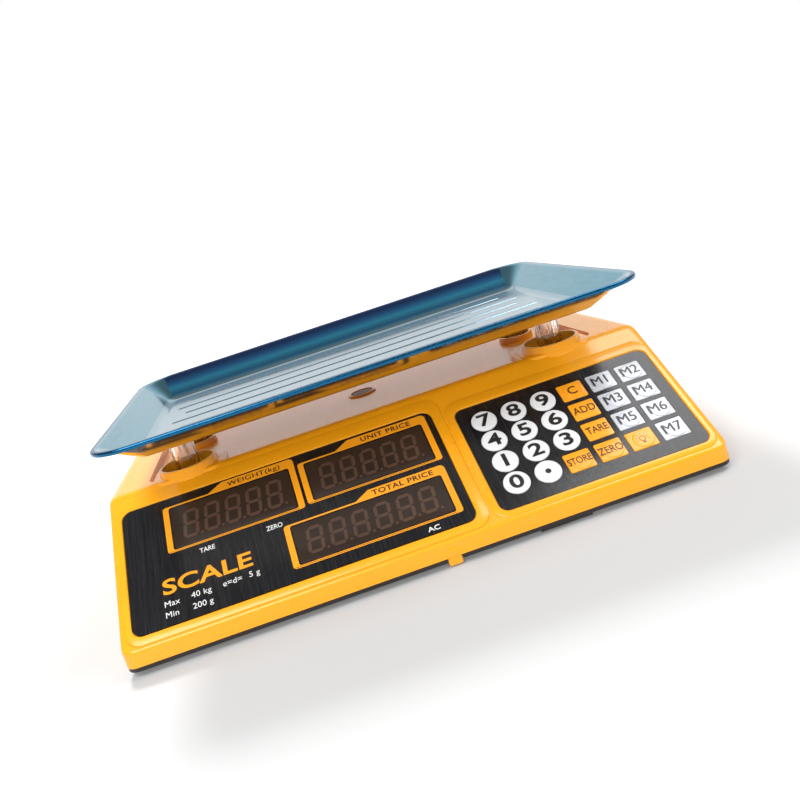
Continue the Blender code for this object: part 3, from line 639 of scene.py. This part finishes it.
# ---------------------------------------------------------------- pan
def build_pan():
    hx, hy, r = PAN_HX, PAN_HY, PAN_R
    fx, fy, fr = hx - 0.021, hy - 0.034, 0.0060
    top, under, rim = PAN_FLOOR, PAN_FLOOR - SHEET, PAN_RIM

    def at(x, y, rad, z):
        return [(u, PAN_Y + v, z) for u, v in rrect(-x, x, -y, y, rad, 16)]
    loops = [at(fx - 0.004, fy - 0.004, fr - 0.002, top), at(fx - 0.001, fy - 0.001, fr, top + 0.0004),
             at(fx + 0.001, fy + 0.0012, fr + 0.0006, top + 0.0020),
             at(hx - 0.0056, hy - 0.0060, r - 0.004, rim - 0.0014),
             at(hx - 0.0046, hy - 0.0048, r - 0.0036, rim - 0.0005),
             at(hx - 0.0026, hy - 0.0026, r - 0.0025, rim), at(hx - 0.0010, hy - 0.0010, r - 0.001, rim),
             at(hx - 0.0003, hy - 0.0003, r - 0.0003, rim - 0.0003), at(hx, hy, r, rim - 0.0010),
             at(hx, hy, r, rim - 0.0021), at(hx - 0.0003, hy - 0.0003, r - 0.0003, rim - 0.0025),
             at(hx - 0.0010, hy - 0.0010, r - 0.001, rim - 0.0023),
             at(hx - 0.0014, hy - 0.0014, r - 0.0014, rim - 0.0016),
             at(hx - 0.0040, hy - 0.0040, r - 0.003, rim - 0.0013),
             at(hx - 0.0050, hy - 0.0052, r - 0.004, rim - 0.0024),
             at(fx + 0.0020, fy + 0.0022, fr + 0.001, under + 0.0018), at(fx - 0.0004, fy - 0.0004, fr, under + 0.0002),
             at(fx - 0.004, fy - 0.004, fr - 0.002, under)]
    bands = [0, 0, 1, 1, 1, 2, 2, 2, 2, 2, 2, 3, 3, 3, 3, 3, 3]
    pan = loft("pan_tray", loops, [FILM, FILM_DEEP, HEM, STEEL, FILM_BACK_PAINTED_REFLECTION], WORLD, False, 50, bands)
    # flange faces turned to the operator take the blue film with painted reflection bands
    for poly in pan.data.polygons:
        if poly.material_index == 1 and poly.normal.y < -0.2 and abs(poly.normal.x) < 0.45 * abs(poly.normal.y):
            poly.material_index = 4
    pan.data.polygons[-2].material_index = 0
    pan.data.polygons[-1].material_index = 3
    place_on(pan, "pan")
    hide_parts("weighing_pan")
    for k in range(6):
        y = PAN_Y - 0.055 + k * 0.022
        half = 0.120 if k % 2 else 0.127

        def outline(i, y=y, half=half):
            return rrect(-half + i, half - i, y - 0.0015 + i, y + 0.0015 - i, 0.0015 - i, 8)
        rib = cushion_top("pan_rib_%d" % k, outline, top - 0.0003, top + 0.0004, 0.0011, [FILM], WORLD, 5)
        soften(rib, 60)
        place_on(rib, "pan")


# ---------------------------------------------------------------- rear display, vial and carried-over nodes
def build_rear_display():
    windows = ((-0.103, -0.040, 4), (-0.034, 0.026, 4), (0.032, 0.103, 5))
    titles = ("WEIGHT(kg)", "UNIT PRICE", "TOTAL PRICE")
    for k, (x0, x1, count) in enumerate(windows):

        def pane_outline(i, a=x0, b=x1):
            return rrect(a + 0.0001 + i, b - 0.0001 - i, 0.0266 + i, 0.0509 - i, 0.0018, 5)

        pane = cushion_top("rear_pane_%d" % k, pane_outline, -0.0010, -0.00002, 0.0002, [PANE], REAR)
        place_on(pane, "housing")
        pitch = (x1 - x0 - 0.006) / count
        shapes = []
        for j in range(count):
            shapes += seven_segments(x0 + 0.0046 + j * pitch, 0.0312, pitch * 0.56, 0.0150, 0.0015)
        flat_print("rear_segments_%d" % k, shapes, 0.00001, SEGMENT, REAR, "housing", 0.00001)
        lettering("rear_title_%d" % k, titles[k], (x0 + x1) / 2, 0.0552, 0.00004, WHITE_INK, REAR, 0.0045,
                  "housing", 1.05, 0.0, "CENTER", 1.12)


def build_details():
    glass = ring_loft("vial_glass", ((0.0079, 0.0700), (0.0079, 0.0705), (0.0074, 0.0707), (0.0040, 0.0709)), [VIAL],
                      WORLD, False, 60, 48, (0, VIAL_Y))
    place_on(glass, "housing")
    mark = ring_loft("vial_ring", ((0.0034, 0.07092), (0.0034, 0.07098), (0.0030, 0.07098), (0.0030, 0.07092)), [INK],
                     WORLD, True, 60, 40, (0, VIAL_Y))
    place_on(mark, "housing")
    bar = [rrect(-0.0002, 0.0002, -0.0013, 0.0013, 0.0001, 2)]
    ring = [circle(0, 0, 0.0013, 20), circle(0, 0, 0.0009, 20)]
    for k, (shapes, side) in enumerate(((bar, -1), (ring, 1))):
        flat_print("rocker_mark_%d" % k, shapes, 0.00002, WHITE_INK, rocker_face(side), "rocker", 0.00002)


def rocker_face(side):
    """Plane on one half of the tilted rocker: along it, up and out of it."""
    c, s = math.cos(math.radians(ROCKER_TILT)), math.sin(math.radians(ROCKER_TILT))

    def turned(u, v):
        return Vector((u * c - v * s, u * s + v * c, 0))

    along, up = turned(0.0012 * side, 0.0068).normalized(), Vector((0, 0, 1))
    origin = Vector((HALF_W - BAY - ROCKER_DEPTH, ROCKER_Y - DEPTH / 2, ROCKER_Z)) + turned(0.0046, 0.0034 * side)
    return matrix_of(origin, along, up, along.cross(up))


def paint_nodes():
    groups = ((BLACK_ABS, "base_tray battery_door rocker_frame mains_inlet"),
              (LABEL, "display_label keypad_overlay customer_label"), (PANE, "display_filter customer_filter"),
              (MODULE, "led_weight led_unit_price led_total_price"),
              (BOARD, "display_board keypad_board customer_display_board"), (ALU, "load_cell load_cell_riser"),
              (BATTERY, "battery"), (CORE, "transformer"), (ROCKER, "power_rocker"), (VIAL, "level_vial"),
              (POST, "pan_support"))
    table = {node: mat for mat, names in groups for node in names.split()}
    rounded = ("base_tray", "rocker_frame", "power_rocker", "mains_inlet", "battery_door")
    for node, obj in NODES.items():
        mat = table.get(node)
        if mat is None:
            mat = ZINC if node.startswith("case_screw") else RUBBER if node.startswith(("foot_", "pan_pad")) else None
        if mat is None:
            continue
        if not obj.material_slots:
            obj.data.materials.append(mat)
        for slot in obj.material_slots:
            slot.link = "OBJECT"
            slot.material = mat
        if node in rounded or node.startswith("foot_"):
            bev = obj.modifiers.new("edge", "BEVEL")
            bev.width, bev.segments, bev.limit_method, bev.angle_limit = 0.0004, 2, "ANGLE", math.radians(50)


# ---------------------------------------------------------------- stage, light and camera
def build_stage():
    mat, tree, bsdf = nodes_of("stage_white_painted_glow")
    fac = noise(tree, 3, 2)
    link(tree, ramp(tree, fac, ((0.3, (0.49, 0.49, 0.49)), (0.7, (0.51, 0.51, 0.51)))), bsdf.inputs["Base Color"])
    bsdf.inputs["Roughness"].default_value = 1.0
    bsdf.inputs["Specular IOR Level"].default_value = 0.0
    # painted glow: the floor emits light, weakly near the scale and fully far off, so the far floor meets the white
    # backdrop
    bsdf.inputs["Emission Color"].default_value = (1, 1, 1, 1)
    coord = tree.nodes.new("ShaderNodeTexCoord")
    length = tree.nodes.new("ShaderNodeVectorMath")
    length.operation = "LENGTH"
    glow_by_distance = tree.nodes.new("ShaderNodeMapRange")
    glow_by_distance.interpolation_type = "SMOOTHSTEP"
    glow_by_distance.inputs["From Min"].default_value, glow_by_distance.inputs["From Max"].default_value = 0.35, 1.6
    glow_by_distance.inputs["To Min"].default_value, glow_by_distance.inputs["To Max"].default_value = 0.10, 1.0
    link(tree, coord.outputs["Object"], length.inputs[0])
    link(tree, length.outputs["Value"], glow_by_distance.inputs["Value"])
    link(tree, glow_by_distance.outputs["Result"], bsdf.inputs["Emission Strength"])
    size = 30.0
    mesh = bpy.data.meshes.new("stage_floor")
    mesh.from_pydata([(-size, -size, 0), (size, -size, 0), (size, size, 0), (-size, size, 0)], [], [(0, 1, 2, 3)])
    mesh.materials.append(mat)
    floor = bpy.data.objects.new("stage_floor", mesh)
    bpy.context.scene.collection.objects.link(floor)


def area(name, location, target, size, power, glossy=True):
    data = bpy.data.lights.new(name, "AREA")
    data.shape, data.size, data.size_y, data.energy = "RECTANGLE", size[0], size[1], power
    obj = bpy.data.objects.new(name, data)
    obj.location = location
    obj.visible_glossy = glossy
    obj.rotation_euler = (Vector(target) - Vector(location)).to_track_quat("-Z", "Y").to_euler()
    bpy.context.scene.collection.objects.link(obj)


def build_light():
    world = bpy.data.worlds.new("studio")
    world.use_nodes = True
    tree = world.node_tree
    back = tree.nodes["Background"]
    back.inputs["Color"].default_value = (1, 1, 1, 1)
    back.inputs["Strength"].default_value = 1.0
    coord = tree.nodes.new("ShaderNodeTexCoord")
    split = tree.nodes.new("ShaderNodeSeparateXYZ")
    fade = tree.nodes.new("ShaderNodeMapRange")
    fade.interpolation_type = "SMOOTHSTEP"
    fade.inputs["From Min"].default_value, fade.inputs["From Max"].default_value = 0.55, 0.85
    fade.inputs["To Min"].default_value, fade.inputs["To Max"].default_value = 0.28, 1.0
    link(tree, coord.outputs["Generated"], split.inputs["Vector"])
    link(tree, split.outputs["Y"], fade.inputs["Value"])
    link(tree, fade.outputs["Result"], back.inputs["Color"])
    seen = tree.nodes.new("ShaderNodeBackground")
    seen.inputs["Color"].default_value = (1, 1, 1, 1)
    seen.inputs["Strength"].default_value = 1.0
    mix = tree.nodes.new("ShaderNodeMixShader")
    path = tree.nodes.new("ShaderNodeLightPath")
    link(tree, path.outputs["Is Camera Ray"], mix.inputs["Fac"])
    link(tree, back.outputs["Background"], mix.inputs[1])
    link(tree, seen.outputs["Background"], mix.inputs[2])
    link(tree, mix.outputs["Shader"], tree.nodes["World Output"].inputs["Surface"])
    bpy.context.scene.world = world
    area("key_front", (-0.7, -1.1, 1.7), (0, 0, 0.04), (1.2, 1.0), 25)
    area("front_low", (-0.35, -1.7, 0.82), (0, 0, 0.07), (1.8, 0.4), 17, False)
    area("softbox_right", (0.88, 0.0, 1.30), (0.05, 0, 0.04), (0.7, 1.0), 12)
    area("back_left", (-0.35, 1.05, 1.30), (0.05, -0.05, 0.0), (0.35, 0.35), 30, False)


def build_camera():
    """Camera from a perspective fit, given by its right, down and forward directions and its place."""
    right = Vector((0.945428, -0.137212, -0.295533))
    down = Vector((-0.319871, -0.218137, -0.922008))
    ahead = Vector((0.062044, 0.966224, -0.250122))
    data = bpy.data.cameras.new("camera")
    data.sensor_width, data.lens = 36.0, 35.78
    data.shift_x, data.shift_y = 0.03635, 0.02275
    data.clip_start, data.clip_end = 0.01, 200
    cam = bpy.data.objects.new("camera", data)
    cam.matrix_world = matrix_of(Vector((-0.0358, -0.5386, 0.1963)), right, -down, -ahead)
    bpy.context.scene.collection.objects.link(cam)
    bpy.context.scene.camera = cam


build_housing()
build_display()
for row_index, names in enumerate(KEY_ROWS):
    for col_index, key_name in enumerate(names):
        build_key(key_name, col_index, row_index)
build_pan()
build_rear_display()
build_details()
paint_nodes()
build_stage()
build_light()
build_camera()

bpy.context.scene.view_settings.view_transform = "Standard"
